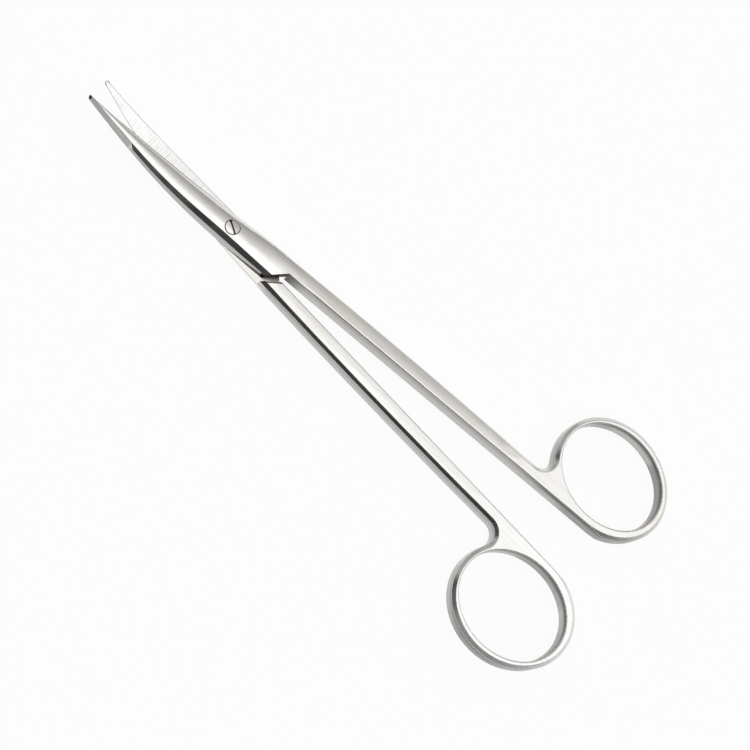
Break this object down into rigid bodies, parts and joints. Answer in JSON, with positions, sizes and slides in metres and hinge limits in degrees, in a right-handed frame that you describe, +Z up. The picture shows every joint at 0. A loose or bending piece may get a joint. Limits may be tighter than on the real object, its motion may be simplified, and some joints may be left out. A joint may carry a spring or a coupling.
{
  "type": "dissecting scissors",
  "caption": "Slim curved dissecting scissors with long straight shanks, oval finger rings and a flush slotted pivot screw, lying slightly open with the blades curving up.",
  "frame": {"origin": "on the pivot axis, in the plane on which the handles rest", "axes": "+Z up along the pivot axis, +X towards the blade tips, +Y towards the finger ring of the lower half"},
  "size_m": [0.1495, 0.0624, 0.0094],
  "materials": {
    "half_steel": "satin",
    "screw_steel": "satin"
  },
  "bodies": {
    "lower": {"lower_half": "half_steel", "pivot_screw": "screw_steel"},
    "upper": {"upper_half": "half_steel"}
  },
  "joints": [
    {"name": "pivot", "type": "hinge", "parent": "lower", "child": "upper", "pos_m": [0, 0, 0.0021], "axis": [0, 0, 1], "range_deg": [-7.1, 80]}
  ]
}
